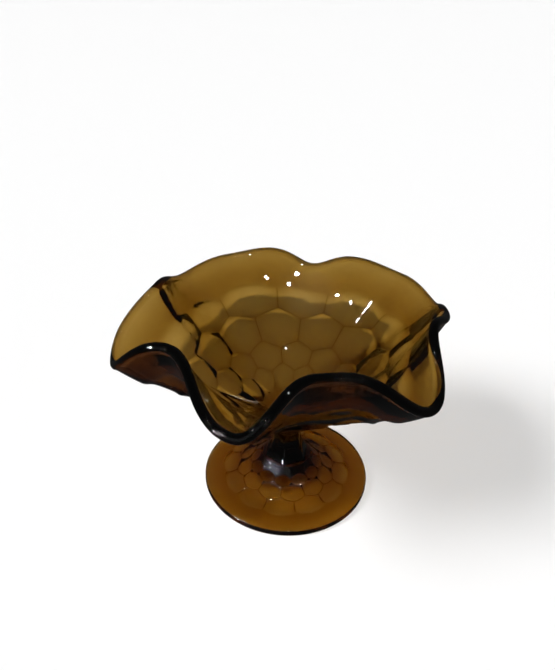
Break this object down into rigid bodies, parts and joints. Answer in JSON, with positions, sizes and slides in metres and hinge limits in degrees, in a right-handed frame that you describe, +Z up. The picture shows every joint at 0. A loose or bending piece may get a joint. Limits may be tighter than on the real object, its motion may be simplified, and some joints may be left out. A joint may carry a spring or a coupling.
{
  "type": "footed candy dish",
  "caption": "Footed glass candy dish: a honeycomb-patterned conical bowl with a ruffled, crimped rim on a hexagonal stem and a round honeycomb foot.",
  "frame": {"origin": "centre of the round foot, on the flat ring that the dish stands on", "axes": "+Z up the axis of the stem; +X to the right of a viewer who stands at -Y, as in the reference view"},
  "size_m": [0.1463, 0.1489, 0.1019],
  "materials": {
    "bowl_glass": "transparent amber-brown pressed glass, fire polished",
    "bead_glass": "the same glass, looking nearly black along the thick rounded edge",
    "stem_glass": "the same glass, darker where it is thick",
    "foot_glass": "transparent amber-brown pressed glass, fire polished"
  },
  "bodies": {
    "root": {"foot": "foot_glass", "stem": "stem_glass", "bowl": "bowl_glass", "brim": "bowl_glass", "rim_bead": "bead_glass"}
  },
  "joints": []
}
